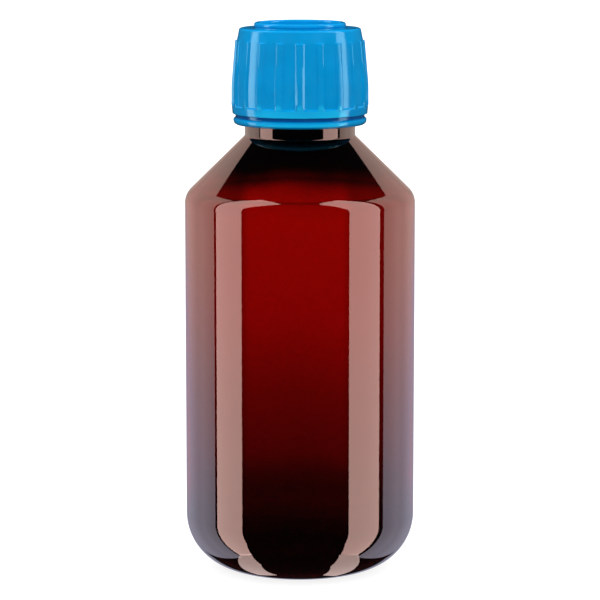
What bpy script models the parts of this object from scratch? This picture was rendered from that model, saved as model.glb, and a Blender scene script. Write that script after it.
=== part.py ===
"""Round amber medicine bottle with a blue tamper-evident screw cap.

For Blender 4.5: blender --background --python part.py

The object is an assembly. The bottle is one stretch-blown PET piece with a threaded neck and a retaining
bead. The screw cap is a ribbed shell with an internal thread, and a foam liner lies under its top. The
tamper ring sits under the cap's skirt, its upper part narrower than the skirt. Small bridges stand on it,
close to its bore, and its lugs catch below the neck's bead.

Metres, +Z up. The origin is the centre of the base, on the surface that the bottle stands on.
"""

import math

import bmesh
import bpy
from mathutils import Matrix, Vector

MM = 0.001

# Resolution.
BOTTLE_SEGMENTS = 48
ARC_STEP = math.radians(16)
SMALL_ARC_STEP = math.radians(32)
SMALL_FILLET = 1.3 * MM
THREAD_STEPS_PER_TURN = 36

# Clearances between separate pieces.
REST_GAP = 0.05 * MM  # between pieces that rest on each other
THREAD_CLEARANCE = 0.3 * MM  # between a thread's crest and the wall that it faces
FLANK_CLEARANCE = 0.1 * MM  # between the flanks that bear on each other when the cap is tight
BEAD_CLEARANCE = 0.25 * MM  # around the neck's retaining bead

# Bottle: body, shoulder and base.
BODY_RADIUS = 27.0 * MM
BODY_HEIGHT = 89.0 * MM  # from the base to the corner where the shoulder starts
BODY_WALL = 0.65 * MM
SHOULDER_RISE = 0.982  # height gained for each unit of radius lost
SHOULDER_WALL = 0.8 * MM
SHOULDER_FILLET = 4.6 * MM
HEEL_RADIUS = 13.0 * MM
FOOT_WIDTH = 1.5 * MM  # the flat ring that the bottle stands on
BASE_WALL = 0.9 * MM
PUSH_UP_HEIGHT = 3.4 * MM
PUSH_UP_SLOPE_WIDTH = 3.4 * MM
GATE_RADIUS = 1.6 * MM
GATE_HEIGHT = 0.3 * MM

# Bottle: neck finish, all of it tied to the finish radius and to the rim.
FINISH_RADIUS = 12.5 * MM  # the wall between the threads
NECK_WALL = 1.8 * MM
NECK_STEP = 0.4 * MM  # the plain neck below the bead is this much wider than the finish
NECK_LENGTH = 22.15 * MM  # from the top of the shoulder to the rim
NECK_FILLET = 0.8 * MM
RIM_FILLET = 0.4 * MM
BEAD_HEIGHT = 1.4 * MM  # how far the retaining bead stands out of the finish wall
BEAD_THICKNESS = 1.9 * MM
BEAD_DEPTH = 17.3 * MM  # from the rim down to the bead's underside

# Thread.
PITCH = 3.18 * MM
THREAD_HEIGHT = 1.05 * MM
NECK_THREAD_TURNS = 1.75
NECK_THREAD_DEPTH = 1.7 * MM  # from the rim down to the thread's upper end
NECK_THREAD_FOOT = 0.85 * MM  # half its thickness at the wall it stands on
NECK_THREAD_CREST = 0.4 * MM  # half its thickness at the crest
CAP_THREAD_TURNS = 1.75
CAP_THREAD_FOOT = 0.7 * MM
CAP_THREAD_CREST = 0.3 * MM
THREAD_RUN_OUT = 0.12  # turns over which a thread fades into its wall
THREAD_SINK = 0.3 * MM  # how deep a thread's root lies inside its wall
THREAD_BURIED_END = 0.15  # share of a thread's depth that is left at its ends, inside the wall

# Cap.
CAP_TOP_WALL = 1.5 * MM
LINER_THICKNESS = 1.3 * MM
LINER_GRIP = 0.1 * MM  # how far the retaining lip reaches under the liner's edge
LINER_PLAY = 0.15 * MM
SKIRT_WALL_TOP = 0.82 * MM
SKIRT_WALL_FOOT = 1.65 * MM
CAP_EDGE_INSET = 0.55 * MM  # the top edge is narrower than the top of the panels by this
CAP_EDGE_FILLET = 0.6 * MM
RIB_COUNT = 20
CAP_SEGMENTS = 3 * RIB_COUNT
RIB_CREST_WIDTH = 1.6 * MM
RIB_ROOT_WIDTH = 2.6 * MM  # inside the wall, at the foot of the rib's sloping sides
RIB_HEIGHT_TOP = 0.4 * MM
RIB_HEIGHT_FOOT = 0.5 * MM
RIB_DEPTH = 0.9 * MM  # from a rib's crest to its root
RIB_TOP_DEPTH = 2.8 * MM  # from the cap's top face down to the upper end of the ribs
RIB_BEND_DEPTH = 13.0 * MM  # where the taper ends and the wall turns upright
RIB_FOOT_DEPTH = 17.8 * MM  # the lower end of the ribs
BEND_FILLET = 30.0 * MM
BAND_STEP = 0.42 * MM  # the lower band stands out of the panels by this
BAND_LEDGE = 0.35 * MM  # height of the sloping ledge above the lower band
BAND_TAPER = 0.15 * MM
RIM_RING_RADIUS = 10.15 * MM  # middle of the snap ring on the cap's top
RIM_RING_WIDTH = 1.08 * MM
RIM_RING_HEIGHT = 1.3 * MM
RIM_RING_UNDERCUT = 0.28 * MM
RECESS_DEPTH = 0.25 * MM  # the floor inside the snap ring lies this far below the cap's top face

# Tamper ring and its bridges.
SLIT_HEIGHT = 0.3 * MM  # between the skirt and the ring
RING_HEIGHT = 2.2 * MM
RING_WALL = 1.42 * MM
RING_FILLET = 0.9 * MM
RING_NECK_INSET = 0.45 * MM  # the upper part of the ring is narrower than the rest by this
RING_NECK_HEIGHT = 0.5 * MM
LUG_REACH = 0.8 * MM
LUG_HEIGHT = 0.8 * MM
LUG_DEPTH = 0.4 * MM  # from the ring's top down to the lugs
LUG_COUNT = 8
LUG_GAP = 2.4 * MM  # the relief slot between two lugs
BRIDGE_COUNT = 12
BRIDGE_WIDTH = 0.8 * MM
BRIDGE_DEPTH = 0.55 * MM
BRIDGE_SINK = 0.3 * MM  # how far a bridge runs down inside the ring
BRIDGE_INSET = 0.45 * MM  # from the ring's bore to the middle of a bridge

# Heights that follow from the sizes above.
NECK_RADIUS = FINISH_RADIUS + NECK_STEP
SHOULDER_TOP = BODY_HEIGHT + (BODY_RADIUS - NECK_RADIUS) * SHOULDER_RISE
RIM_Z = SHOULDER_TOP + NECK_LENGTH
BEAD_Z = RIM_Z - BEAD_DEPTH
NECK_THREAD_LOW_Z = RIM_Z - NECK_THREAD_DEPTH - PITCH * NECK_THREAD_TURNS
CAP_CEILING_Z = RIM_Z + REST_GAP + LINER_THICKNESS + REST_GAP
CAP_TOP_Z = CAP_CEILING_Z + CAP_TOP_WALL
RING_TOP_Z = BEAD_Z  # level with the bead's underside
RING_FOOT_Z = RING_TOP_Z - RING_HEIGHT
SKIRT_FOOT_Z = RING_TOP_Z + SLIT_HEIGHT

# Radii that follow from the sizes above.
BORE_RADIUS = FINISH_RADIUS - NECK_WALL
THREAD_RADIUS = FINISH_RADIUS + THREAD_HEIGHT
BEAD_RADIUS = FINISH_RADIUS + BEAD_HEIGHT
CAP_BORE_RADIUS = THREAD_RADIUS + THREAD_CLEARANCE
CAP_THREAD_RADIUS = FINISH_RADIUS + THREAD_CLEARANCE
SKIRT_BORE_RADIUS = BEAD_RADIUS + BEAD_CLEARANCE
LINER_RADIUS = CAP_BORE_RADIUS - 2 * LINER_PLAY
PANEL_TOP_RADIUS = CAP_BORE_RADIUS + SKIRT_WALL_TOP
PANEL_FOOT_RADIUS = CAP_BORE_RADIUS + SKIRT_WALL_FOOT
RING_RADIUS = SKIRT_BORE_RADIUS + RING_WALL

PARTS = "medicine_bottle"
HELPERS = "helpers"


def rounded(corners):
    """The outline through corners (radius, height, fillet), with an arc at each corner that has a fillet."""
    points = []
    for i, (r, z, fillet) in enumerate(corners):
        corner = Vector((r, z))
        if not fillet:
            points.append(corner)
            continue
        back = (Vector(corners[i - 1][:2]) - corner).normalized()
        ahead = (Vector(corners[(i + 1) % len(corners)][:2]) - corner).normalized()
        half = back.angle(ahead) / 2
        centre = corner + (back + ahead).normalized() * fillet / math.sin(half)
        start = corner + back * fillet / math.tan(half) - centre
        sweep = start.angle_signed(corner + ahead * fillet / math.tan(half) - centre)
        arc_step = SMALL_ARC_STEP if fillet < SMALL_FILLET else ARC_STEP
        steps = max(1, round(abs(sweep) / arc_step))
        for k in range(steps + 1):
            turn = Matrix.Rotation(-sweep * k / steps, 2)
            points.append(centre + turn @ start)
    return points


def add_object(name, mesh, collection=PARTS):
    obj = bpy.data.objects.new(name, mesh)
    bpy.data.collections[collection].objects.link(obj)
    if collection == HELPERS:
        obj.hide_render = True
        obj.display_type = "WIRE"
    return obj


def turned(name, outline, segments, closed, collection=PARTS):
    """A turned solid. Its outline runs down the outer side, and one that isn't closed ends on the axis."""
    mesh = bpy.data.meshes.new(name)
    count = len(outline)
    edges = [(i, i + 1) for i in range(count - 1)]
    if closed:
        edges.append((count - 1, 0))
    mesh.from_pydata([(r, 0, z) for r, z in outline], edges, [])
    obj = add_object(name, mesh, collection)
    screw = obj.modifiers.new("turn", "SCREW")
    screw.axis = "Z"
    screw.steps = screw.render_steps = segments
    screw.use_merge_vertices = True
    screw.merge_threshold = 0.01 * MM
    screw.use_normal_calculate = False
    return obj


def combine(obj, helper, operation):
    modifier = obj.modifiers.new(helper.name, "BOOLEAN")
    modifier.operation = operation
    modifier.object = helper


def material(name, colour, roughness, alpha=1.0):
    made = bpy.data.materials.new(name)
    made.use_nodes = True
    shader = made.node_tree.nodes["Principled BSDF"]
    shader.inputs["Base Color"].default_value = (*colour, 1)
    shader.inputs["Roughness"].default_value = roughness
    shader.inputs["Metallic"].default_value = 0.0
    shader.inputs["Alpha"].default_value = alpha
    return made


def lofted(name, sections):
    """A closed mesh through sections of four corners each, with a face over each end."""
    bm = bmesh.new()
    rings = [[bm.verts.new(corner) for corner in section] for section in sections]
    for low, high in zip(rings, rings[1:]):
        for k in range(4):
            n = (k + 1) % 4
            bm.faces.new((low[k], low[n], high[n], high[k]))
    bm.faces.new(rings[0])
    bm.faces.new(rings[-1])
    bmesh.ops.recalc_face_normals(bm, faces=bm.faces)
    mesh = bpy.data.meshes.new(name)
    bm.to_mesh(mesh)
    bm.free()
    return mesh


def thread_ridge(name, wall, crest, foot_half, crest_half, low_z, turns):
    """A right-hand helical ridge from a wall to its crest radius, fading into the wall at both ends.

    Its flanks run on into the wall, and its half thickness is foot_half where it leaves the wall.
    """
    root = wall - math.copysign(THREAD_SINK, crest - wall)
    root_half = foot_half + (foot_half - crest_half) * THREAD_SINK / abs(crest - wall)
    steps = round(turns * THREAD_STEPS_PER_TURN)
    sections = []
    for i in range(steps + 1):
        turn = turns * i / steps
        fade = min(1, turn / THREAD_RUN_OUT, (turns - turn) / THREAD_RUN_OUT)
        depth = THREAD_BURIED_END + (1 - THREAD_BURIED_END) * fade
        top = root + (crest - root) * depth
        top_half = root_half + (crest_half - root_half) * depth
        z = low_z + PITCH * turn
        angle = math.tau * turn
        corners = ((root, z - root_half), (top, z - top_half), (top, z + top_half), (root, z + root_half))
        sections.append([(r * math.cos(angle), r * math.sin(angle), h) for r, h in corners])
    return add_object(name, lofted(name, sections), HELPERS)


def box_mesh(name, centre, size):
    mesh = bpy.data.meshes.new(name)
    bm = bmesh.new()
    bmesh.ops.create_cube(bm, size=1, matrix=Matrix.Translation(centre) @ Matrix.Diagonal((*size, 1)))
    bm.to_mesh(mesh)
    bm.free()
    return mesh


def spread_around(name, mesh, count, first_angle=0.0):
    """One helper that holds a mesh repeated around the Z axis."""
    bm = bmesh.new()
    for i in range(count):
        before = len(bm.verts)
        bm.from_mesh(mesh)
        bm.verts.ensure_lookup_table()
        turn = Matrix.Rotation(first_angle + math.tau * i / count, 4, "Z")
        bmesh.ops.transform(bm, matrix=turn, verts=bm.verts[before:])
    repeated = bpy.data.meshes.new(name)
    bm.to_mesh(repeated)
    bm.free()
    return add_object(name, repeated, HELPERS)


def shoulder_z(radius):
    """Height of the shoulder's outer cone at a radius."""
    return SHOULDER_TOP - (radius - NECK_RADIUS) * SHOULDER_RISE


def bottle_outline():
    """Inner wall from the middle of the base up to the rim, then the outer wall back down."""
    heel_foot = BODY_RADIUS - HEEL_RADIUS
    foot_inner = heel_foot - FOOT_WIDTH
    dome_edge = foot_inner - PUSH_UP_SLOPE_WIDTH
    dome_drop = 0.2 * PUSH_UP_HEIGHT  # the dome is this much lower at its edge than in the middle
    cone_offset = SHOULDER_WALL * math.hypot(1, SHOULDER_RISE)
    inner_radius = BODY_RADIUS - BODY_WALL
    floor_z = PUSH_UP_HEIGHT + 1.4 * BASE_WALL
    inside = [
        (0, floor_z, 0),
        (dome_edge + 0.3 * BASE_WALL, floor_z - dome_drop, 2.5 * MM),
        (foot_inner + 0.6 * BASE_WALL, BASE_WALL, 1.0 * MM),
        (inner_radius, BASE_WALL, HEEL_RADIUS - BODY_WALL),
        (inner_radius, shoulder_z(inner_radius) - cone_offset, SHOULDER_FILLET - BODY_WALL),
        (BORE_RADIUS, shoulder_z(BORE_RADIUS) - cone_offset, NECK_FILLET),
        (BORE_RADIUS, RIM_Z, RIM_FILLET),
    ]
    bead_top = BEAD_Z + BEAD_THICKNESS
    outside = [
        (FINISH_RADIUS, RIM_Z, RIM_FILLET),
        (FINISH_RADIUS, bead_top, 0),
        (BEAD_RADIUS, bead_top - 0.45 * BEAD_THICKNESS, 0.25 * MM),
        (BEAD_RADIUS, BEAD_Z, 0.25 * MM),
        (NECK_RADIUS, BEAD_Z, 0),
        (NECK_RADIUS, SHOULDER_TOP, NECK_FILLET),
        (BODY_RADIUS, BODY_HEIGHT, SHOULDER_FILLET),
        (BODY_RADIUS, 0, HEEL_RADIUS),
        (foot_inner, 0, 0.4 * MM),
        (dome_edge, PUSH_UP_HEIGHT - dome_drop, 2.0 * MM),
        (GATE_RADIUS, PUSH_UP_HEIGHT, 0),
        (0.8 * GATE_RADIUS, PUSH_UP_HEIGHT - GATE_HEIGHT, 0),
        (0, PUSH_UP_HEIGHT - GATE_HEIGHT, 0),
    ]
    return rounded(inside + outside)


def make_bottle(amber):
    bottle = turned("bottle", bottle_outline(), BOTTLE_SEGMENTS, closed=False)
    ridge = thread_ridge(
        "neck_thread",
        FINISH_RADIUS,
        THREAD_RADIUS,
        NECK_THREAD_FOOT,
        NECK_THREAD_CREST,
        NECK_THREAD_LOW_Z,
        NECK_THREAD_TURNS,
    )
    combine(bottle, ridge, "UNION")
    bottle.data.materials.append(amber)


def skirt_line(top_radius, foot_radius):
    """The tapered wall of the cap from the ribs' upper end to their foot, as rounded corners."""
    return [
        (top_radius, CAP_TOP_Z - RIB_TOP_DEPTH, 0),
        (foot_radius, CAP_TOP_Z - RIB_BEND_DEPTH, BEND_FILLET),
        (foot_radius, CAP_TOP_Z - RIB_FOOT_DEPTH, 0),
    ]


def cap_outline():
    """From the middle of the top, down the outside of the skirt and back up its inside."""
    lip_radius = LINER_RADIUS - LINER_GRIP
    lip_z = RIM_Z - REST_GAP
    seat_radius = LINER_RADIUS + LINER_PLAY
    skirt_bore_top = BEAD_Z + BEAD_THICKNESS + BEAD_CLEARANCE
    bore_step = SKIRT_BORE_RADIUS - CAP_BORE_RADIUS
    ring_out = RIM_RING_RADIUS + RIM_RING_WIDTH / 2
    ring_in = RIM_RING_RADIUS - RIM_RING_WIDTH / 2
    ring_top = CAP_TOP_Z + RIM_RING_HEIGHT
    ring_round = 0.48 * RIM_RING_WIDTH
    edge_radius = PANEL_TOP_RADIUS - CAP_EDGE_INSET
    band_radius = PANEL_FOOT_RADIUS + BAND_STEP
    band_top = CAP_TOP_Z - RIB_FOOT_DEPTH - BAND_LEDGE
    top = [
        (0, CAP_TOP_Z - RECESS_DEPTH, 0),
        (ring_in, CAP_TOP_Z - RECESS_DEPTH, 0),
        (ring_in, ring_top, ring_round),
        (ring_out, ring_top, ring_round),
        (ring_out, CAP_TOP_Z + 0.4 * RIM_RING_HEIGHT, 0),
        (ring_out - RIM_RING_UNDERCUT, CAP_TOP_Z, 0),
        (edge_radius, CAP_TOP_Z, CAP_EDGE_FILLET),
    ]
    skirt = skirt_line(PANEL_TOP_RADIUS, PANEL_FOOT_RADIUS)
    band = [
        (band_radius, band_top, 0),
        (band_radius - BAND_TAPER, SKIRT_FOOT_Z, 0.2 * MM),
    ]
    inside = [
        (SKIRT_BORE_RADIUS, SKIRT_FOOT_Z, 0),
        (SKIRT_BORE_RADIUS, skirt_bore_top, 0),
        (CAP_BORE_RADIUS, skirt_bore_top + bore_step, 0),
        (CAP_BORE_RADIUS, lip_z - 0.7 * MM, 0),
        (lip_radius, lip_z - 0.25 * MM, 0),
        (seat_radius, lip_z, 0),
        (seat_radius, CAP_CEILING_Z, 0),
        (0, CAP_CEILING_Z, 0),
    ]
    return rounded(top + skirt + band + inside)


def cap_thread_drop():
    """How far the cap's thread lies below the neck's, so that their flanks bear when the cap is tight."""
    reach = (CAP_THREAD_RADIUS - FINISH_RADIUS) / THREAD_HEIGHT
    neck_half = NECK_THREAD_FOOT + (NECK_THREAD_CREST - NECK_THREAD_FOOT) * reach
    return neck_half + CAP_THREAD_CREST + FLANK_CLEARANCE


def make_cap(blue):
    cap = turned("screw_cap", cap_outline(), CAP_SEGMENTS, closed=False)

    line = rounded(skirt_line(PANEL_TOP_RADIUS + RIB_HEIGHT_TOP, PANEL_FOOT_RADIUS + RIB_HEIGHT_FOOT))
    half = RIB_CREST_WIDTH / 2
    root_half = RIB_ROOT_WIDTH / 2
    sections = []
    for crest, z in line:
        root = crest - RIB_DEPTH
        corners = ((root, -root_half), (crest, -half), (crest, half), (root, root_half))
        sections.append([(x, y, z) for x, y in corners])
    front = -math.pi / 2  # one rib faces straight to the front
    combine(cap, spread_around("ribs", lofted("rib", sections), RIB_COUNT, front), "UNION")

    ridge = thread_ridge(
        "cap_thread",
        CAP_BORE_RADIUS,
        CAP_THREAD_RADIUS,
        CAP_THREAD_FOOT,
        CAP_THREAD_CREST,
        NECK_THREAD_LOW_Z - cap_thread_drop(),
        CAP_THREAD_TURNS,
    )
    combine(cap, ridge, "UNION")
    cap.data.materials.append(blue)


def make_liner(foam):
    low = RIM_Z + REST_GAP
    high = low + LINER_THICKNESS
    bevel = 0.12 * MM
    outline = [
        (0, high),
        (LINER_RADIUS - bevel, high),
        (LINER_RADIUS, high - bevel),
        (LINER_RADIUS, low + bevel),
        (LINER_RADIUS - bevel, low),
        (0, low),
    ]
    liner = turned("foam_liner", outline, CAP_SEGMENTS, closed=False)
    liner.data.materials.append(foam)


def make_tamper_ring(blue):
    lug_radius = SKIRT_BORE_RADIUS - LUG_REACH
    lug_top = RING_TOP_Z - LUG_DEPTH
    lug_foot = lug_top - LUG_HEIGHT
    neck_radius = RING_RADIUS - RING_NECK_INSET
    neck_foot = RING_TOP_Z - RING_NECK_HEIGHT
    outline = rounded([
        (SKIRT_BORE_RADIUS, RING_FOOT_Z, 0),
        (SKIRT_BORE_RADIUS, lug_foot, 0),
        (lug_radius, lug_top - 0.4 * LUG_HEIGHT, 0),
        (lug_radius, lug_top, 0),
        (SKIRT_BORE_RADIUS, lug_top, 0),
        (SKIRT_BORE_RADIUS, RING_TOP_Z, 0),
        (neck_radius, RING_TOP_Z, 0.15 * MM),
        (neck_radius, neck_foot, 0),
        (RING_RADIUS, neck_foot - RING_NECK_INSET, 0),
        (RING_RADIUS - 0.1 * MM, RING_FOOT_Z, RING_FILLET),
    ])
    ring = turned("tamper_ring", outline, BOTTLE_SEGMENTS, closed=True)
    slot_reach = LUG_REACH + 0.05 * MM
    slot_middle = SKIRT_BORE_RADIUS - LUG_REACH / 2
    slot = box_mesh(
        "lug_slot",
        Vector((slot_middle, 0, (RING_TOP_Z + RING_FOOT_Z) / 2)),
        (slot_reach, LUG_GAP, 2 * RING_HEIGHT),
    )
    combine(ring, spread_around("lug_slots", slot, LUG_COUNT), "DIFFERENCE")

    bridge_foot = RING_TOP_Z - BRIDGE_SINK
    bridge_top = SKIRT_FOOT_Z - REST_GAP
    bridge = box_mesh(
        "bridge",
        Vector((SKIRT_BORE_RADIUS + BRIDGE_INSET, 0, (bridge_foot + bridge_top) / 2)),
        (BRIDGE_DEPTH, BRIDGE_WIDTH, bridge_top - bridge_foot),
    )
    half_step = math.pi / BRIDGE_COUNT
    combine(ring, spread_around("bridges", bridge, BRIDGE_COUNT, half_step), "UNION")
    ring.data.materials.append(blue)


def main():
    for obj in list(bpy.data.objects):
        bpy.data.objects.remove(obj)
    for name in (PARTS, HELPERS):
        bpy.context.scene.collection.children.link(bpy.data.collections.new(name))
    amber = material("amber_pet", (0.20, 0.03, 0.01), 0.08, alpha=0.75)
    blue = material("blue_polypropylene", (0.0, 0.28, 0.60), 0.3)
    foam = material("white_foam", (0.9, 0.9, 0.88), 0.7)
    make_bottle(amber)
    make_cap(blue)
    make_liner(foam)
    make_tamper_ring(blue)


main()
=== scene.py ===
"""Looks of the amber medicine bottle with its blue tamper-evident screw cap.

Each CAD solid is replaced by a finely turned piece of the same size, and the light is a plain
studio. Metres, +Z up, and the camera looks along +Y and a little down.
"""

import math

import bmesh
import bpy
from mathutils import Matrix, Vector


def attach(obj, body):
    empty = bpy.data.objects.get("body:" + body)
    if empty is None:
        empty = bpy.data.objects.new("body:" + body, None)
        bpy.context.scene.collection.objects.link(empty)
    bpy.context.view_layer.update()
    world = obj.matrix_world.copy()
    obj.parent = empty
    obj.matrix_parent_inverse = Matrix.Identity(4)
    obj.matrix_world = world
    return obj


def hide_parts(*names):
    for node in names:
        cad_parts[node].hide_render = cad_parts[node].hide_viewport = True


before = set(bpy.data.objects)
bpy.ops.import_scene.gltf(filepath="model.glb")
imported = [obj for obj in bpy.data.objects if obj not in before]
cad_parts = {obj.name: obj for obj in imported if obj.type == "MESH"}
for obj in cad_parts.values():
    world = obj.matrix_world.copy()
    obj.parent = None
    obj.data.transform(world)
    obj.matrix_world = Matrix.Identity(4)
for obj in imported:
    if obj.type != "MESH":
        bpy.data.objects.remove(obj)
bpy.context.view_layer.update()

MM = 0.001

# Clearances between separate pieces, as the CAD has them.
REST_GAP = 0.05 * MM  # between pieces that rest on each other
THREAD_CLEARANCE = 0.3 * MM  # between a thread's crest and the wall that it faces
FLANK_CLEARANCE = 0.1 * MM  # between the flanks that bear on each other when the cap is tight
BEAD_CLEARANCE = 0.25 * MM  # around the neck's retaining bead

# Bottle: body, shoulder and base, as the CAD has them.
BODY_RADIUS = 27.0 * MM
BODY_HEIGHT = 89.0 * MM  # from the base to the corner where the shoulder starts
BODY_WALL = 0.65 * MM
SHOULDER_RISE = 0.982  # height gained for each unit of radius lost
SHOULDER_WALL = 0.8 * MM
SHOULDER_FILLET = 4.6 * MM
HEEL_RADIUS = 13.0 * MM
FOOT_WIDTH = 1.5 * MM  # the flat ring that the bottle stands on
BASE_WALL = 0.9 * MM
PUSH_UP_HEIGHT = 3.4 * MM
PUSH_UP_SLOPE_WIDTH = 3.4 * MM
GATE_RADIUS = 1.6 * MM
GATE_HEIGHT = 0.3 * MM

# Bottle: neck finish, as the CAD has it.
FINISH_RADIUS = 12.5 * MM  # the wall between the threads
NECK_WALL = 1.8 * MM
NECK_STEP = 0.4 * MM  # the plain neck below the bead is this much wider than the finish
NECK_LENGTH = 22.15 * MM  # from the top of the shoulder to the rim
NECK_FILLET = 0.8 * MM
RIM_FILLET = 0.4 * MM
BEAD_HEIGHT = 1.4 * MM  # how far the retaining bead stands out of the finish wall
BEAD_THICKNESS = 1.9 * MM
BEAD_DEPTH = 17.3 * MM  # from the rim down to the bead's underside

# Threads, as the CAD has them.
PITCH = 3.18 * MM
THREAD_HEIGHT = 1.05 * MM
NECK_THREAD_TURNS = 1.75
NECK_THREAD_DEPTH = 1.7 * MM  # from the rim down to the thread's upper end
NECK_THREAD_FOOT = 0.85 * MM  # half its thickness at the wall it stands on
NECK_THREAD_CREST = 0.4 * MM  # half its thickness at the crest
CAP_THREAD_TURNS = 1.75
CAP_THREAD_FOOT = 0.7 * MM
CAP_THREAD_CREST = 0.3 * MM
THREAD_RUN_OUT = 0.12  # turns over which a thread fades into its wall

# Cap and liner, as the CAD has them.
CAP_TOP_WALL = 1.5 * MM
LINER_THICKNESS = 1.3 * MM
LINER_GRIP = 0.1 * MM  # how far the retaining lip reaches under the liner's edge
LINER_PLAY = 0.15 * MM
SKIRT_WALL_TOP = 0.82 * MM
SKIRT_WALL_FOOT = 1.65 * MM
CAP_EDGE_INSET = 0.55 * MM  # the top edge is narrower than the top of the panels by this
CAP_EDGE_FILLET = 0.6 * MM
RIB_COUNT = 20
RIB_HEIGHT_TOP = 0.4 * MM
RIB_HEIGHT_FOOT = 0.5 * MM
RIB_TOP_DEPTH = 2.8 * MM  # from the cap's top face down to the upper end of the ribs
RIB_BEND_DEPTH = 13.0 * MM  # where the taper ends and the wall turns upright
RIB_FOOT_DEPTH = 17.8 * MM  # the lower end of the ribs
BEND_FILLET = 30.0 * MM
BAND_STEP = 0.42 * MM  # the lower band stands out of the panels by this
BAND_LEDGE = 0.35 * MM  # height of the sloping ledge above the lower band
BAND_TAPER = 0.15 * MM
RIM_RING_RADIUS = 10.15 * MM  # middle of the snap ring on the cap's top
RIM_RING_WIDTH = 1.08 * MM
RIM_RING_HEIGHT = 1.3 * MM
RIM_RING_UNDERCUT = 0.28 * MM
RECESS_DEPTH = 0.25 * MM  # the floor inside the snap ring lies this far below the cap's top face

# Tamper ring and its bridges, as the CAD has them.
SLIT_HEIGHT = 0.3 * MM  # between the skirt and the ring
RING_HEIGHT = 2.2 * MM
RING_WALL = 1.42 * MM
RING_FILLET = 0.9 * MM
RING_NECK_INSET = 0.45 * MM  # the upper part of the ring is narrower than the rest by this
RING_NECK_HEIGHT = 0.5 * MM
LUG_REACH = 0.8 * MM
LUG_HEIGHT = 0.8 * MM
LUG_DEPTH = 0.4 * MM  # from the ring's top down to the lugs
LUG_COUNT = 8
LUG_GAP = 2.4 * MM
BRIDGE_COUNT = 12
BRIDGE_WIDTH = 0.8 * MM
BRIDGE_DEPTH = 0.55 * MM
BRIDGE_INSET = 0.45 * MM  # from the ring's bore out to the middle of a bridge

# Details that the CAD has in another form or not at all.
RIB_CREST_WIDTH = 1.1 * MM  # the ribs' sides are rounded here, so their flat crests are narrower
RIB_FOOT_WIDTH = 2.2 * MM
COLLAR_INSET = 0.5 * MM  # the ring's thin collar, which fills the slit, is this much narrower
COLLAR_GAP = 0.06 * MM  # the collar ends this far below the skirt
LUG_GAP_DEPTH = 0.98  # the share of a lug's reach that is cut back between two lugs
LUG_END = 0.15 * MM  # the width of the slope at a lug's end

# Heights and radii that follow from the sizes above.
NECK_RADIUS = FINISH_RADIUS + NECK_STEP
SHOULDER_TOP = BODY_HEIGHT + (BODY_RADIUS - NECK_RADIUS) * SHOULDER_RISE
RIM_Z = SHOULDER_TOP + NECK_LENGTH
BEAD_Z = RIM_Z - BEAD_DEPTH
NECK_THREAD_LOW_Z = RIM_Z - NECK_THREAD_DEPTH - PITCH * NECK_THREAD_TURNS
CAP_CEILING_Z = RIM_Z + REST_GAP + LINER_THICKNESS + REST_GAP
CAP_TOP_Z = CAP_CEILING_Z + CAP_TOP_WALL
RIB_TOP_Z = CAP_TOP_Z - RIB_TOP_DEPTH
RIB_FOOT_Z = CAP_TOP_Z - RIB_FOOT_DEPTH
RING_TOP_Z = BEAD_Z
RING_FOOT_Z = RING_TOP_Z - RING_HEIGHT
SKIRT_FOOT_Z = RING_TOP_Z + SLIT_HEIGHT

BORE_RADIUS = FINISH_RADIUS - NECK_WALL
THREAD_RADIUS = FINISH_RADIUS + THREAD_HEIGHT
BEAD_RADIUS = FINISH_RADIUS + BEAD_HEIGHT
CAP_BORE_RADIUS = THREAD_RADIUS + THREAD_CLEARANCE
CAP_THREAD_RADIUS = FINISH_RADIUS + THREAD_CLEARANCE
SKIRT_BORE_RADIUS = BEAD_RADIUS + BEAD_CLEARANCE
LINER_RADIUS = CAP_BORE_RADIUS - 2 * LINER_PLAY
PANEL_TOP_RADIUS = CAP_BORE_RADIUS + SKIRT_WALL_TOP
PANEL_FOOT_RADIUS = CAP_BORE_RADIUS + SKIRT_WALL_FOOT
RING_RADIUS = SKIRT_BORE_RADIUS + RING_WALL

# Fineness of the turned pieces.
ARC_STEP = math.radians(4)
ROW_STEP = 2.0 * MM
CAP_ROW_STEP = 1.2 * MM
THREAD_ROW_STEP = 0.12 * MM
EDGE_ROW = 0.15 * MM  # an extra row beside each broad fillet keeps the shading flat next to it
BROAD_FILLET = 0.55 * MM
BOTTLE_SEGMENTS = 180
LINER_SEGMENTS = 120
BRIDGE_SEGMENTS = 12
SHARP_EDGE = math.radians(35)
TOLERANCE = 0.01 * MM  # for telling whether a row lies on a wall
FRONT = -math.pi / 2  # the angle that faces the camera

# Camera.
CAMERA_DISTANCE = 0.676
CAMERA_HEIGHT = 0.16845
CAMERA_PITCH = math.radians(8.8)
LENS = 174  # millimetres
SENSOR_WIDTH = 36  # millimetres

# Studio.
ROOM_HALF_WIDTH = 0.60  # the softboxes stand at this distance too
ROOM_BACK = 1.5
CAP_ROOM_HALF_WIDTH = 0.62  # wider than the other room, so that no two panels share a plane
SOFTBOX_TOP = 1.62
SOFTBOX_BEND = -0.35  # below this height a softbox's inner edge turns outwards
SOFTBOX_FOOT = -0.72
WING_END = (0.95, 1.15)  # the heights between which a wing's narrow end stands
LOW_SOFTBOX_Z = -3.0
CAP_TABLE_Z = -0.10
CARD_Y = 0.07  # the card that shines through the bottle stands just behind it
CARD_HALF_WIDTH = 0.045
FLOOR_SIZE = 6
FLOOR_DROP = 0.02 * MM  # the floor lies this far below the foot, so that they don't share a plane


# --- shapes -------------------------------------------------------------------------------------


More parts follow.
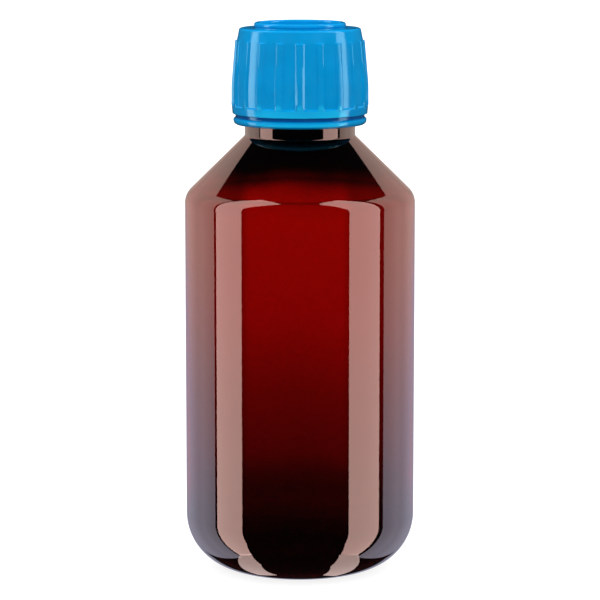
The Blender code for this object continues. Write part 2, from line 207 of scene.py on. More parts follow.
def rounded(corners):
    """The outline through corners (radius, height, fillet), with a fine arc for each fillet."""
    points = []
    for i, (r, z, fillet) in enumerate(corners):
        corner = Vector((r, z))
        if not fillet:
            points.append(corner)
            continue
        back = (Vector(corners[i - 1][:2]) - corner).normalized()
        ahead = (Vector(corners[(i + 1) % len(corners)][:2]) - corner).normalized()
        half = back.angle(ahead) / 2
        centre = corner + (back + ahead).normalized() * fillet / math.sin(half)
        start = corner + back * fillet / math.tan(half) - centre
        sweep = start.angle_signed(corner + ahead * fillet / math.tan(half) - centre)
        steps = max(3, round(abs(sweep) / ARC_STEP))
        arc = [centre + Matrix.Rotation(-sweep * k / steps, 2) @ start for k in range(steps + 1)]
        if fillet > BROAD_FILLET:
            arc = [arc[0] + back * EDGE_ROW, *arc, arc[-1] + ahead * EDGE_ROW]
        points.extend(arc)
    return points


def is_on(row, radius):
    """Whether a row lies on the wall with this radius."""
    return abs(row.x - radius) < TOLERANCE


def refined(points, step, threaded=None):
    """The outline with its long stretches cut up, finely on the wall with the threaded radius."""
    fine = []
    for a, b in zip(points, points[1:]):
        on_thread = threaded and is_on(a, threaded) and is_on(b, threaded)
        count = math.ceil((b - a).length / (THREAD_ROW_STEP if on_thread else step))
        fine.append(a)
        fine.extend(a.lerp(b, k / count) for k in range(1, count))
    fine.append(points[-1])
    return fine


def lathe(name, rows, angles, shift=None):
    """A closed turned mesh from rows (radius, height).

    shift(row number, angle) is how far a point of that row is moved outwards.
    """
    bm = bmesh.new()
    rings = []
    for i, row in enumerate(rows):
        if row.x < 1e-7:
            rings.append([bm.verts.new((0, 0, row.y))])
            continue
        ring = []
        for angle in angles:
            r = row.x + (shift(i, angle) if shift else 0)
            ring.append(bm.verts.new((r * math.cos(angle), r * math.sin(angle), row.y)))
        rings.append(ring)
    pairs = list(zip(rings, rings[1:]))
    if len(rings[0]) > 1 and len(rings[-1]) > 1:
        pairs.append((rings[-1], rings[0]))
    count = len(angles)
    for above, below in pairs:
        for k in range(count):
            n = (k + 1) % count
            if len(above) == 1:
                bm.faces.new((above[0], below[k], below[n]))
            elif len(below) == 1:
                bm.faces.new((above[k], below[0], above[n]))
            else:
                bm.faces.new((above[k], below[k], below[n], above[n]))
    return finished(name, bm)


def finished(name, bm):
    """The object made from a mesh, smooth apart from its sharp edges."""
    bmesh.ops.recalc_face_normals(bm, faces=bm.faces)
    for face in bm.faces:
        face.smooth = True
    for edge in bm.edges:
        if edge.is_manifold and edge.calc_face_angle(0) > SHARP_EDGE:
            edge.smooth = False
    mesh = bpy.data.meshes.new(name)
    bm.to_mesh(mesh)
    bm.free()
    return placed(name, mesh)


def placed(name, data):
    """A new object in the scene."""
    obj = bpy.data.objects.new(name, data)
    bpy.context.scene.collection.objects.link(obj)
    return obj


def even_angles(count):
    return [FRONT + math.tau * k / count for k in range(count)]


def angles_about(count, start, marks):
    """Angles with the marks on both sides of each of the middles, and one halfway to the next."""
    step = math.tau / count
    angles = []
    for i in range(count):
        middle = start + step * i
        angles += [middle - mark for mark in reversed(marks[1:])]
        angles += [middle + mark for mark in marks]
        angles.append(middle + step / 2)
    return angles


def from_middle(angle, count, start):
    """How far an angle is from the nearest of the evenly spaced middles."""
    step = math.tau / count
    return abs((angle - start + step / 2) % step - step / 2)


def smooth_step(x):
    x = min(1, max(0, x))
    return x * x * (3 - 2 * x)


def thread_profile(z, angle, low_z, turns, height, foot_half, crest_half):
    """How far a right-hand helical ridge stands out at a height and an angle."""
    angle %= math.tau
    best = 0
    for lap in range(math.ceil(turns)):
        turn = lap + angle / math.tau
        if turn > turns:
            break
        fade = smooth_step(turn / THREAD_RUN_OUT) * smooth_step((turns - turn) / THREAD_RUN_OUT)
        away = abs(z - (low_z + PITCH * turn))
        rise = smooth_step((foot_half - away) / (foot_half - crest_half))
        best = max(best, rise * fade * height)
    return best


def shoulder_z(radius):
    """The height of the shoulder's cone at a radius."""
    return SHOULDER_TOP - (radius - NECK_RADIUS) * SHOULDER_RISE


def bottle_outline():
    heel_foot = BODY_RADIUS - HEEL_RADIUS
    foot_inner = heel_foot - FOOT_WIDTH
    dome_edge = foot_inner - PUSH_UP_SLOPE_WIDTH
    dome_drop = 0.2 * PUSH_UP_HEIGHT
    cone_offset = SHOULDER_WALL * math.hypot(1, SHOULDER_RISE)
    inner_radius = BODY_RADIUS - BODY_WALL
    floor_z = PUSH_UP_HEIGHT + 1.4 * BASE_WALL
    bead_top = BEAD_Z + BEAD_THICKNESS
    inside = [
        (0, floor_z, 0),
        (dome_edge + 0.3 * BASE_WALL, floor_z - dome_drop, 2.5 * MM),
        (foot_inner + 0.6 * BASE_WALL, BASE_WALL, 1.0 * MM),
        (inner_radius, BASE_WALL, HEEL_RADIUS - BODY_WALL),
        (inner_radius, shoulder_z(inner_radius) - cone_offset, SHOULDER_FILLET - BODY_WALL),
        (BORE_RADIUS, shoulder_z(BORE_RADIUS) - cone_offset, NECK_FILLET),
        (BORE_RADIUS, RIM_Z, RIM_FILLET),
    ]
    outside = [
        (FINISH_RADIUS, RIM_Z, RIM_FILLET),
        (FINISH_RADIUS, bead_top, 0.2 * MM),
        (BEAD_RADIUS, bead_top - 0.45 * BEAD_THICKNESS, 0.25 * MM),
        (BEAD_RADIUS, BEAD_Z, 0.25 * MM),
        (NECK_RADIUS, BEAD_Z, 0.2 * MM),
        (NECK_RADIUS, SHOULDER_TOP, NECK_FILLET),
        (BODY_RADIUS, BODY_HEIGHT, SHOULDER_FILLET),
        (BODY_RADIUS, 0, HEEL_RADIUS),
    ]
    base = [
        (foot_inner, 0, 0.4 * MM),
        (dome_edge, PUSH_UP_HEIGHT - dome_drop, 2.0 * MM),
        (GATE_RADIUS, PUSH_UP_HEIGHT, 0.1 * MM),
        (0.8 * GATE_RADIUS, PUSH_UP_HEIGHT - GATE_HEIGHT, 0.1 * MM),
        (0, PUSH_UP_HEIGHT - GATE_HEIGHT, 0),
    ]
    return rounded(inside + outside + base)


def make_bottle():
    low = NECK_THREAD_LOW_Z - NECK_THREAD_FOOT
    high = RIM_Z - NECK_THREAD_DEPTH + NECK_THREAD_FOOT
    rows = refined(bottle_outline(), ROW_STEP, FINISH_RADIUS)

    def shift(i, angle):
        row = rows[i]
        if not is_on(row, FINISH_RADIUS) or not low < row.y < high:
            return 0
        return thread_profile(
            row.y,
            angle,
            NECK_THREAD_LOW_Z,
            NECK_THREAD_TURNS,
            THREAD_HEIGHT,
            NECK_THREAD_FOOT,
            NECK_THREAD_CREST,
        )

    return lathe("amber_bottle", rows, even_angles(BOTTLE_SEGMENTS), shift)


def cap_outline():
    lip_radius = LINER_RADIUS - LINER_GRIP
    lip_z = RIM_Z - REST_GAP
    seat_radius = LINER_RADIUS + LINER_PLAY
    skirt_bore_top = BEAD_Z + BEAD_THICKNESS + BEAD_CLEARANCE
    bore_step = SKIRT_BORE_RADIUS - CAP_BORE_RADIUS
    ring_out = RIM_RING_RADIUS + RIM_RING_WIDTH / 2
    ring_in = RIM_RING_RADIUS - RIM_RING_WIDTH / 2
    ring_top = CAP_TOP_Z + RIM_RING_HEIGHT
    ring_round = 0.48 * RIM_RING_WIDTH
    edge_radius = PANEL_TOP_RADIUS - CAP_EDGE_INSET
    band_radius = PANEL_FOOT_RADIUS + BAND_STEP
    lean = (PANEL_FOOT_RADIUS - PANEL_TOP_RADIUS) / (RIB_BEND_DEPTH - RIB_TOP_DEPTH)
    top = [
        (0, CAP_TOP_Z - RECESS_DEPTH, 0),
        (ring_in, CAP_TOP_Z - RECESS_DEPTH, 0.25 * MM),
        (ring_in, ring_top, ring_round),
        (ring_out, ring_top, ring_round),
        (ring_out, CAP_TOP_Z + 0.4 * RIM_RING_HEIGHT, 0.15 * MM),
        (ring_out - RIM_RING_UNDERCUT, CAP_TOP_Z, 0.15 * MM),
        (edge_radius, CAP_TOP_Z, CAP_EDGE_FILLET),
    ]
    ribbed_skirt = [
        (PANEL_TOP_RADIUS, RIB_TOP_Z, 0),
        (PANEL_TOP_RADIUS + lean * EDGE_ROW, RIB_TOP_Z - EDGE_ROW, 0),
        (PANEL_FOOT_RADIUS, CAP_TOP_Z - RIB_BEND_DEPTH, BEND_FILLET),
        (PANEL_FOOT_RADIUS, RIB_FOOT_Z, 0),
    ]
    lower_band = [
        (band_radius, RIB_FOOT_Z - BAND_LEDGE, 0.1 * MM),
        (band_radius - BAND_TAPER, SKIRT_FOOT_Z, 0.2 * MM),
    ]
    inside = [
        (SKIRT_BORE_RADIUS, SKIRT_FOOT_Z, 0.1 * MM),
        (SKIRT_BORE_RADIUS, skirt_bore_top, 0),
        (CAP_BORE_RADIUS, skirt_bore_top + bore_step, 0),
        (CAP_BORE_RADIUS, lip_z - 0.7 * MM, 0),
        (lip_radius, lip_z - 0.25 * MM, 0),
        (seat_radius, lip_z, 0),
        (seat_radius, CAP_CEILING_Z, 0),
        (0, CAP_CEILING_Z, 0),
    ]
    return rounded(top + ribbed_skirt + lower_band + inside)


def rib_angles():
    """Angles round the cap, close together at the ribs' sides."""
    half_step = math.pi / RIB_COUNT
    crest = RIB_CREST_WIDTH / 2 / PANEL_FOOT_RADIUS
    foot = RIB_FOOT_WIDTH / 2 / PANEL_FOOT_RADIUS
    side = foot - crest
    marks = [0, 0.5 * crest, crest - 0.5 * side, crest, crest + 0.5 * side, foot, foot + 0.5 * side]
    marks += [foot + (half_step - foot) * share for share in (0.35, 0.7)]
    return angles_about(RIB_COUNT, FRONT, marks)


def rib_rise(row, angle):
    """How far the ribs stand out of the skirt at a row and an angle.

    Their upper ends rise over the height of one edge row.
    """
    away = from_middle(angle, RIB_COUNT, FRONT) * row.x
    across = smooth_step((RIB_FOOT_WIDTH / 2 - away) / (RIB_FOOT_WIDTH / 2 - RIB_CREST_WIDTH / 2))
    down = (RIB_TOP_Z - row.y) / (RIB_TOP_Z - RIB_FOOT_Z)
    height = RIB_HEIGHT_TOP + (RIB_HEIGHT_FOOT - RIB_HEIGHT_TOP) * down
    end = min(1, (RIB_TOP_Z - row.y) / EDGE_ROW)
    return across * height * end


def make_cap():
    rows = refined(cap_outline(), CAP_ROW_STEP, CAP_BORE_RADIUS)
    thread_low = NECK_THREAD_LOW_Z - cap_thread_drop()

    def shift(i, angle):
        row = rows[i]
        if is_on(row, CAP_BORE_RADIUS):
            return -thread_profile(
                row.y,
                angle,
                thread_low,
                CAP_THREAD_TURNS,
                CAP_BORE_RADIUS - CAP_THREAD_RADIUS,
                CAP_THREAD_FOOT,
                CAP_THREAD_CREST,
            )
        beside_ribs = RIB_FOOT_Z - TOLERANCE <= row.y <= RIB_TOP_Z + TOLERANCE
        return rib_rise(row, angle) if row.x > CAP_BORE_RADIUS and beside_ribs else 0

    return lathe("ribbed_cap", rows, rib_angles(), shift)


def cap_thread_drop():
    """How far the cap's thread lies below the neck's, so that their flanks nearly touch."""
    reach = (CAP_THREAD_RADIUS - FINISH_RADIUS) / THREAD_HEIGHT
    neck_half = NECK_THREAD_FOOT + (NECK_THREAD_CREST - NECK_THREAD_FOOT) * reach
    return neck_half + CAP_THREAD_CREST + FLANK_CLEARANCE


def make_liner():
    low = RIM_Z + REST_GAP
    high = low + LINER_THICKNESS
    bevel = 0.12 * MM
    outline = rounded([
        (0, high, 0),
        (LINER_RADIUS, high, bevel),
        (LINER_RADIUS, low, bevel),
        (0, low, 0),
    ])
    return lathe("sealing_liner", refined(outline, ROW_STEP), even_angles(LINER_SEGMENTS))


def make_ring():
    lug_radius = SKIRT_BORE_RADIUS - LUG_REACH
    lug_top = RING_TOP_Z - LUG_DEPTH
    lug_foot = lug_top - LUG_HEIGHT
    neck_foot = RING_TOP_Z - RING_NECK_HEIGHT
    collar_radius = RING_RADIUS - COLLAR_INSET
    collar_top = SKIRT_FOOT_Z - COLLAR_GAP
    outline = rounded([
        (SKIRT_BORE_RADIUS, RING_FOOT_Z, 0),
        (SKIRT_BORE_RADIUS, lug_foot, 0),
        (lug_radius, lug_top - 0.4 * LUG_HEIGHT, 0),
        (lug_radius, lug_top, 0),
        (SKIRT_BORE_RADIUS, lug_top, 0),
        (SKIRT_BORE_RADIUS, collar_top, 0.05 * MM),
        (collar_radius, collar_top, 0.05 * MM),
        (collar_radius, neck_foot + 0.1 * MM, 0.1 * MM),
        (RING_RADIUS - RING_NECK_INSET, neck_foot, 0.1 * MM),
        (RING_RADIUS, neck_foot - RING_NECK_INSET, 0.2 * MM),
        (RING_RADIUS - 0.1 * MM, RING_FOOT_Z, RING_FILLET),
    ])
    half_step = math.pi / LUG_COUNT
    gap = LUG_GAP / 2 / SKIRT_BORE_RADIUS
    slope = LUG_END / SKIRT_BORE_RADIUS
    lug_start = gap + slope
    marks = [0, gap / 2, gap - slope, gap, lug_start]
    marks += [lug_start + (half_step - gap - slope) * share for share in (0.2, 0.4, 0.6, 0.8)]

    def shift(i, angle):
        if outline[i].x > SKIRT_BORE_RADIUS - 0.05 * MM:
            return 0
        away = from_middle(angle, LUG_COUNT, 0)
        return LUG_REACH * (1 - smooth_step((away - gap) / slope)) * LUG_GAP_DEPTH

    return lathe("tamper_evident_ring", outline, angles_about(LUG_COUNT, 0, marks), shift)


def make_bridges():
    """Small tapered posts in the slit, broad at the ring and thin at the skirt."""
    bm = bmesh.new()
    foot = RING_TOP_Z - 0.1 * MM
    top = SKIRT_FOOT_Z - REST_GAP
    middle = SKIRT_BORE_RADIUS + BRIDGE_INSET
    for i in range(BRIDGE_COUNT):
        turn = Matrix.Rotation(math.tau * (i + 0.5) / BRIDGE_COUNT, 4, "Z")
        rings = []
        for z, share in ((foot, 1.0), (foot + 0.3 * (top - foot), 0.9), (top, 0.6)):
            corners = []
            for k in range(BRIDGE_SEGMENTS):
                a = math.tau * k / BRIDGE_SEGMENTS
                x = middle + BRIDGE_DEPTH / 2 * share * math.cos(a)
                y = BRIDGE_WIDTH / 2 * share * math.sin(a)
                corners.append(bm.verts.new(turn @ Vector((x, y, z))))
            rings.append(corners)
        for low, high in zip(rings, rings[1:]):
            for k in range(BRIDGE_SEGMENTS):
                n = (k + 1) % BRIDGE_SEGMENTS
                bm.faces.new((low[k], low[n], high[n], high[k]))
        bm.faces.new(list(reversed(rings[0])))
        bm.faces.new(rings[-1])
    return finished("breakable_bridges", bm)


# --- materials ----------------------------------------------------------------------------------


def greys(*stops):
    """A ramp's stops in grey, from pairs of a position and a level."""
    return [(position, (level, level, level)) for position, level in stops]


class Nodes:
    """A node tree and short calls for adding nodes to it."""

    def __init__(self, tree):
        self.tree = tree

    def add(self, kind, inputs=None, **settings):
        node = self.tree.nodes.new(kind)
        for key, value in settings.items():
            setattr(node, key, value)
        for key, value in (inputs or {}).items():
            if isinstance(value, bpy.types.NodeSocket):
                self.tree.links.new(value, node.inputs[key])
            else:
                node.inputs[key].default_value = value
        return node

    def position(self):
        return self.add("ShaderNodeTexCoord").outputs["Object"]

    def split(self, vector):
        return self.add("ShaderNodeSeparateXYZ", {"Vector": vector}).outputs

    def calculate(self, operation, *values):
        node = self.add("ShaderNodeMath", dict(enumerate(values)), operation=operation)
        return node.outputs["Value"]

    def noise(self, scale, detail=3.0, vector=None):
        inputs = {"Vector": vector or self.position(), "Scale": scale, "Detail": detail}
        return self.add("ShaderNodeTexNoise", inputs).outputs["Fac"]

    def remap(self, value, low, high, to_low, to_high):
        inputs = {"Value": value, "From Min": low, "From Max": high}
        inputs |= {"To Min": to_low, "To Max": to_high}
        return self.add("ShaderNodeMapRange", inputs).outputs["Result"]

    def stretched(self, x, y, z):
        inputs = {"Vector": self.position(), "Scale": (x, y, z)}
        return self.add("ShaderNodeMapping", inputs).outputs["Vector"]

    def ramp(self, value, stops):
        node = self.add("ShaderNodeValToRGB", {"Fac": value})
        ramp = node.color_ramp
        for element, (position, colour) in zip(ramp.elements, (stops[0], stops[-1])):
            element.position, element.color = position, (*colour, 1)
        for position, colour in stops[1:-1]:
            ramp.elements.new(position).color = (*colour, 1)
        return node.outputs["Color"]

    def bump(self, height, distance, strength, normal=None):
        inputs = {"Height": height, "Distance": distance, "Strength": strength}
        if normal:
            inputs["Normal"] = normal
        return self.add("ShaderNodeBump", inputs).outputs["Normal"]


class Material(Nodes):
    """A new material, with short calls for its shader's sockets."""

    def __init__(self, name):
        self.material = bpy.data.materials.new(name)
        self.material.use_nodes = True
        super().__init__(self.material.node_tree)
        self.shader = self.tree.nodes["Principled BSDF"]

    def link(self, output, name):
        self.tree.links.new(output, self.shader.inputs[name])

    def set(self, **values):
        for key, value in values.items():
            self.shader.inputs[key.replace("_", " ")].default_value = value


def amber_pet():
    """Clear amber PET: red in the body, darker towards the neck, shoulder and base."""
    m = Material("amber_pet")
    height = m.split(m.position())["Z"]
    wavy = m.remap(m.noise(55.0, 2.0), 0.3, 0.7, -1.2 * MM, 1.2 * MM)
    share = m.remap(m.calculate("ADD", height, wavy), 0.0, 0.13, 0.0, 1.0)
    dark = (0.010, 0.0005, 0.0002)
    colour = m.ramp(share, [
        (0.0, (0.03, 0.001, 0.0003)),
        (0.10, (0.06, 0.001, 0.0003)),
        (0.13, (0.16, 0.003, 0.0005)),
        (0.17, (0.42, 0.009, 0.0012)),
        (0.40, (0.47, 0.010, 0.0015)),
        (0.66, (0.53, 0.022, 0.003)),
        (0.69, (0.46, 0.018, 0.003)),
        (0.71, (0.34, 0.012, 0.002)),
        (0.728, (0.11, 0.003, 0.0006)),
        (0.745, dark),
        (1.0, dark),
    ])
    m.link(colour, "Base Color")
    ripple = m.noise(28.0, 1.0, m.stretched(1.0, 1.0, 0.18))
    normal = m.bump(ripple, 0.10 * MM, 0.35)
    m.link(m.bump(m.noise(420.0, 2.0), 0.004 * MM, 0.25, normal), "Normal")
    m.link(m.remap(m.noise(120.0, 4.0), 0.3, 0.75, 0.01, 0.035), "Roughness")
    m.set(Transmission_Weight=1.0, IOR=1.57, Specular_Tint=(1.0, 0.86, 0.80, 1))
    return m.material


def blue_polypropylene():
    """Moulded blue plastic with a glossy, very slightly uneven surface, and painted shade in the
    slit under the skirt.
    """
    m = Material("blue_polypropylene")
    height = m.split(m.position())["Z"]
    # Painted shade: the colour darkens by height in the slit and recess under the skirt's lip,
    # where the lip shades the ring.
    in_slit = m.remap(height, RING_TOP_Z - 0.8 * MM, SKIRT_FOOT_Z + 0.1 * MM, 0.0, 1.0)
    lit = m.ramp(in_slit, greys((0.0, 1), (0.3, 0), (0.85, 0), (1.0, 1)))
    cloudy = m.remap(m.noise(160.0, 4.0), 0.3, 0.7, 0.5, 1.0)
    # The darkest stop is reached only in the painted shade of the slit.
    colour = m.ramp(m.calculate("MULTIPLY", lit, cloudy), [
        (0.0, (0.0, 0.09, 0.33)),
        (0.5, (0.0, 0.27, 0.61)),
        (1.0, (0.0, 0.30, 0.67)),
    ])
    m.link(colour, "Base Color")
    normal = m.bump(m.noise(900.0, 3.0), 0.006 * MM, 0.3)
    m.link(m.bump(m.noise(110.0, 2.0), 0.04 * MM, 0.25, normal), "Normal")
    m.link(m.remap(m.noise(260.0, 5.0), 0.3, 0.75, 0.10, 0.18), "Roughness")
    m.set(IOR=1.45, Specular_IOR_Level=0.5, Specular_Tint=(0.7, 0.97, 1.0, 1))
    return m.material


def white_foam():
    """Closed-cell foam, slightly mottled and matt."""
    m = Material("white_foam")
    cells = m.add("ShaderNodeTexVoronoi", {"Vector": m.position(), "Scale": 2600.0})
    shades = [(0.3, (0.80, 0.80, 0.77)), (0.7, (0.88, 0.88, 0.86))]
    m.link(m.ramp(m.noise(300.0, 3.0), shades), "Base Color")
    m.link(m.bump(cells.outputs["Distance"], 0.03 * MM, 0.5), "Normal")
    m.link(m.remap(m.noise(500.0), 0.3, 0.7, 0.55, 0.75), "Roughness")
    return m.material


# --- studio -------------------------------------------------------------------------------------


def plain_light(name, colour=(1, 1, 1), strength=1.0, hides=False):
    """A material that only shines, and hides what is behind it or lets it through."""
    m = Material(name)
    m.tree.nodes.remove(m.shader)
    m.shader = m.add("ShaderNodeEmission", {"Color": (*colour, 1), "Strength": strength})
    surface = m.shader.outputs["Emission"]
    if not hides:
        clear = m.add("ShaderNodeBsdfTransparent").outputs["BSDF"]
        surface = m.add("ShaderNodeAddShader", {0: surface, 1: clear}).outputs["Shader"]
    output = next(node for node in m.tree.nodes if node.type == "OUTPUT_MATERIAL")
    m.tree.links.new(surface, output.inputs["Surface"])
    return m


def softbox_light():
    """A softbox that is a little brighter below the object."""
    m = plain_light("softbox", (1.0, 0.71, 0.67))
    m.link(m.remap(m.split(m.position())["Z"], -0.12, 0.0, 6.9, 6.0), "Strength")
    return m.material


def low_light():
    """The softboxes' light from below, fainter towards the back."""
    m = plain_light("low_softbox", (1.0, 0.76, 0.72))
    m.link(m.remap(m.split(m.position())["Y"], -1.0, 2.5, 5.8, 2.2), "Strength")
    return m.material


def wall_light():
    """White walls, brightest beside the object, darker further back, warm above, cool below."""
    m = plain_light("white_wall")
    place = m.split(m.position())
    back = m.remap(place["Y"], 0.0, ROOM_BACK, 0.0, 1.0)
    level = m.ramp(back, greys((0.0, 0.88), (0.16, 0.84), (0.25, 0.64), (0.6, 0.42), (1.0, 0.26)))
    high = m.remap(place["Z"], 0.15, 0.45, 2.4, 2.7)
    m.link(m.calculate("MULTIPLY", level, high), "Strength")
    risen = m.calculate("MULTIPLY_ADD", place["Y"], 0.05, place["Z"])
    tints = [(0.0, (0.80, 0.78, 1.0)), (0.2, (1.1, 0.86, 0.78)), (1.0, (1.25, 0.84, 0.74))]
    m.link(m.ramp(m.remap(risen, -0.10, 0.40, 0.0, 1.0), tints), "Color")
    return m.material


def back_light():
    """What shows through the bottle, fading fast at the shoulder and slowly towards the base."""
    m = plain_light("backlight", hides=True)
    place = m.split(m.position())
    side = m.remap(place["X"], -BODY_RADIUS, BODY_RADIUS, 0.0, 1.0)
    lift = m.ramp(side, greys((0.15, 0.2), (0.5, 0.0), (0.8, 0.5)))
    raised = m.calculate("MULTIPLY_ADD", lift, 0.01, place["Z"])
    fade = m.ramp(m.remap(raised, -0.010, 0.060, 0.0, 1.0), greys(
        (0.0, 0.0),
        (0.10, 0.002),
        (0.18, 0.05),
        (0.35, 0.165),
        (0.56, 0.26),
        (0.85, 0.53),
        (1.0, 0.56),
    ))
    high = m.remap(place["Z"], 0.0835, 0.0925, 1.7, 0.02)
    across = m.remap(place["X"], -CARD_HALF_WIDTH, CARD_HALF_WIDTH, 0.0, 1.0)
    sides = m.ramp(across, greys((0.315, 0.5), (0.345, 1.0), (0.630, 1.0), (0.660, 0.5)))
    both = m.calculate("MULTIPLY", fade, high)
    m.link(m.calculate("MULTIPLY", both, sides), "Strength")
    return m.material


def table_light():
    """The bright table in front of the cap, dimmer far away."""
    m = plain_light("bright_table", (0.06, 0.95, 1.0))
    m.link(m.remap(m.split(m.position())["Y"], -1.6, -0.5, 1.2, 5.6), "Strength")
    return m.material


def panel(name, corners, material):
    """A flat light that shows only as a reflection."""
    mesh = bpy.data.meshes.new(name)
    mesh.from_pydata(corners, [], [range(len(corners))])
    mesh.materials.append(material)
    obj = placed(name, mesh)
    obj.visible_camera = False
    obj.visible_shadow = False
    obj.visible_diffuse = False
    obj.visible_transmission = False
    return obj


def upright(start, end, low, high):
    """Corners of an upright panel over the ground from start to end, between two heights."""
    return [(*start, low), (*end, low), (*end, high), (*start, high)]


def leaning(inner, outer, share):
    """Corners of a tall upright panel.

    Towards the foot its inner edge turns outwards, by a share of the panel's width.
    """
    foot = tuple(a + (b - a) * share for a, b in zip(inner, outer))
    return [
        (*outer, SOFTBOX_FOOT),
        (*foot, SOFTBOX_FOOT),
        (*inner, SOFTBOX_BEND),
        (*inner, SOFTBOX_TOP),
        (*outer, SOFTBOX_TOP),
    ]


def wing(start, end, low):
    """Corners of an upright panel that narrows towards a high end."""
    return [(*start, low), (*end, WING_END[0]), (*end, WING_END[1]), (*start, SOFTBOX_TOP)]


def level_with(height, *ground):
    """Corners of a level panel at a height."""
    return [(x, y, height) for x, y in ground]


def heading(degrees):
    """The softboxes' place on the ground, that many degrees to the right of the camera's side."""
    a = math.radians(degrees)
    return (ROOM_HALF_WIDTH * math.sin(a), -ROOM_HALF_WIDTH * math.cos(a))


def light_only(lights, pieces):
    """Lets these lights reach these pieces and nothing else."""
    group = bpy.data.collections.new("lit_by_" + lights[0].name)
    for piece in pieces:
        group.objects.link(piece)
    for light in lights:
        light.light_linking.receiver_collection = group


def light_glass(glass):
    """Two softboxes, each with a wing above and a low panel far below, and a room's white walls."""
    softbox, low_softbox, wall = softbox_light(), low_light(), wall_light()
    left, right = heading(-58.9), heading(48.9)
    left_low = level_with(
        LOW_SOFTBOX_Z, (-2.3, -0.9), (-1.2, 0.2), (-0.4, 2.1), (-0.6, 3.5), (-1.4, 1.9), (-2.5, 0.0)
    )
    right_low = level_with(
        LOW_SOFTBOX_Z, (1.9, -1.3), (0.9, 0.2), (0.4, 2.1), (0.5, 3.5), (1.3, 1.8), (2.5, -0.2)
    )
    wall_left = upright((-ROOM_HALF_WIDTH, 0.035), (-ROOM_HALF_WIDTH, ROOM_BACK), -0.81, 0.72)
    wall_right = upright((ROOM_HALF_WIDTH, 0.006), (ROOM_HALF_WIDTH, ROOM_BACK), -0.81, 0.70)
    wall_back = upright((-ROOM_HALF_WIDTH, ROOM_BACK), (ROOM_HALF_WIDTH, ROOM_BACK), -1.0, 1.6)
    light_only([
        panel("softbox_left", leaning(left, heading(-90.3), 0.31), softbox),
        panel("softbox_right", leaning(right, heading(84.8), 0.21), softbox),
        panel("softbox_left_top", wing(left, heading(-31), 0.33), softbox),
        panel("softbox_right_top", wing(right, heading(29), 0.30), softbox),
        panel("softbox_left_low", left_low, low_softbox),
        panel("softbox_right_low", right_low, low_softbox),
        panel("wall_left", wall_left, wall),
        panel("wall_right", wall_right, wall),
        panel("wall_back", wall_back, wall),
    ], glass)


def light_plastic(plastic):
    """Two softboxes, a bright table and faint walls, for the cap, its liner and its ring."""
    softbox = plain_light("cap_softbox", (0.75, 1.0, 1.0), 5.0).material
    wall = plain_light("cap_wall", (0.3, 0.9, 1.0), 0.12).material
    table = level_with(CAP_TABLE_Z, (-1.0, -1.8), (1.0, -1.8), (1.0, -0.05), (-1.0, -0.05))
    left, right = -CAP_ROOM_HALF_WIDTH, CAP_ROOM_HALF_WIDTH
    light_only([
        panel("cap_softbox_left", upright(heading(-101), heading(-84), -0.3, 1.2), softbox),
        panel("cap_softbox_right", upright(heading(72), heading(91), -0.3, 1.2), softbox),
        panel("cap_table", table, table_light()),
        panel("cap_wall_left", upright((left, 0.25), (left, ROOM_BACK), -0.3, 0.6), wall),
        panel("cap_wall_right", upright((right, 0.20), (right, ROOM_BACK), -0.3, 0.6), wall),
    ], plastic)


def light_through():
    """A card behind the object, which only the light that passes through it shows."""
    corners = upright((-CARD_HALF_WIDTH, CARD_Y), (CARD_HALF_WIDTH, CARD_Y), -0.05, 0.16)
    card = panel("backlight", corners, back_light())
    card.visible_glossy = False
    card.visible_transmission = True


def make_floor():
    """A pale floor, which only the camera sees, and which shines enough to look evenly white."""
    bpy.ops.mesh.primitive_plane_add(size=FLOOR_SIZE, location=(0, 0, -FLOOR_DROP))
    floor = bpy.context.object
    floor.name = "floor"
    floor.visible_glossy = False
    floor.visible_transmission = False
    floor.visible_diffuse = False
    m = Material("pale_floor")
    m.set(Base_Color=(0.3, 0.3, 0.3, 1), Roughness=0.9, Specular_IOR_Level=0.0)
    m.set(Emission_Color=(1, 1, 1, 1), Emission_Strength=0.85)
    floor.data.materials.append(m.material)


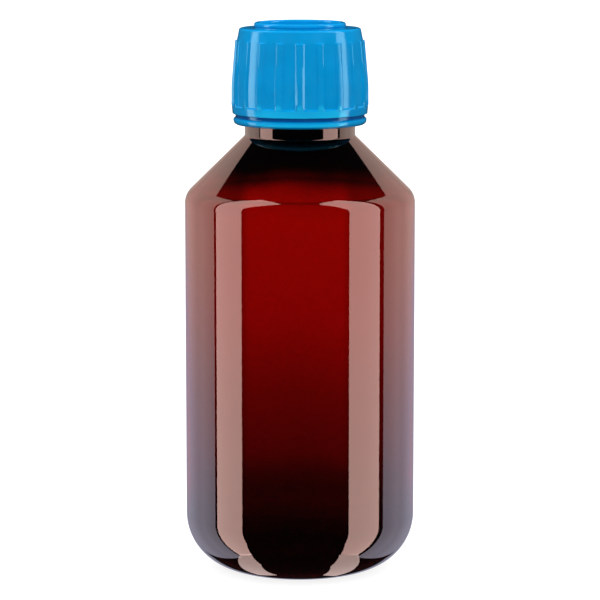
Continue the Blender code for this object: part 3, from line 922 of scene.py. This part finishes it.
def make_world():
    """A soft fill from above, a nearly black room in the gloss, and white behind the object."""
    world = bpy.data.worlds.new("studio")
    bpy.context.scene.world = world
    world.use_nodes = True
    world.node_tree.nodes.clear()
    n = Nodes(world.node_tree)

    def background(colour, strength=1.0):
        inputs = {"Color": colour, "Strength": strength}
        return n.add("ShaderNodeBackground", inputs).outputs["Background"]

    up = n.split(n.add("ShaderNodeTexCoord").outputs["Generated"])["Z"]
    levels = greys((0.2, 0.02), (0.42, 0.31), (0.58, 0.37), (1.0, 0.9))
    fill = background(n.ramp(n.remap(up, -1.0, 1.0, 0.0, 1.0), levels), 2.7)
    through = background((0.8, 0.8, 0.8, 1), 0.6)
    seen = background((1, 1, 1, 1))
    shown = background((0.012, 0.012, 0.013, 1))
    rays = n.add("ShaderNodeLightPath").outputs
    pairs = (("Is Diffuse Ray", fill), ("Is Transmission Ray", through), ("Is Camera Ray", seen))
    for ray, light in pairs:
        shown = n.add("ShaderNodeMixShader", {0: rays[ray], 1: shown, 2: light}).outputs["Shader"]
    n.add("ShaderNodeOutputWorld", {"Surface": shown})


def make_camera():
    """A long lens a little above the bottle's top, pitched down at it."""
    data = bpy.data.cameras.new("camera")
    data.sensor_width = SENSOR_WIDTH
    data.lens = LENS
    camera = placed("camera", data)
    camera.location = (0, -CAMERA_DISTANCE, CAMERA_HEIGHT)
    camera.rotation_euler = (math.pi / 2 - CAMERA_PITCH, 0, 0)
    bpy.context.scene.camera = camera


def main():
    amber, blue, foam = amber_pet(), blue_polypropylene(), white_foam()
    made = (
        (make_bottle(), "bottle", "bottle", amber, "amber_pet"),
        (make_cap(), "cap", "screw_cap", blue, "blue_polypropylene"),
        (make_liner(), "liner", "foam_liner", foam, "white_foam"),
        (make_ring(), "ring", "tamper_ring", blue, "blue_polypropylene"),
        (make_bridges(), "ring", None, blue, "blue_polypropylene"),
    )
    for piece, body, node, material, slot in made:
        piece.data.materials.append(material)
        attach(piece, body)
        if node:
            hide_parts(node)
    glass, *plastic = [piece for piece, *_ in made]
    light_glass([glass])
    light_plastic(plastic)
    light_through()
    make_floor()
    make_world()
    make_camera()
    bpy.context.scene.view_settings.view_transform = "Standard"


main()
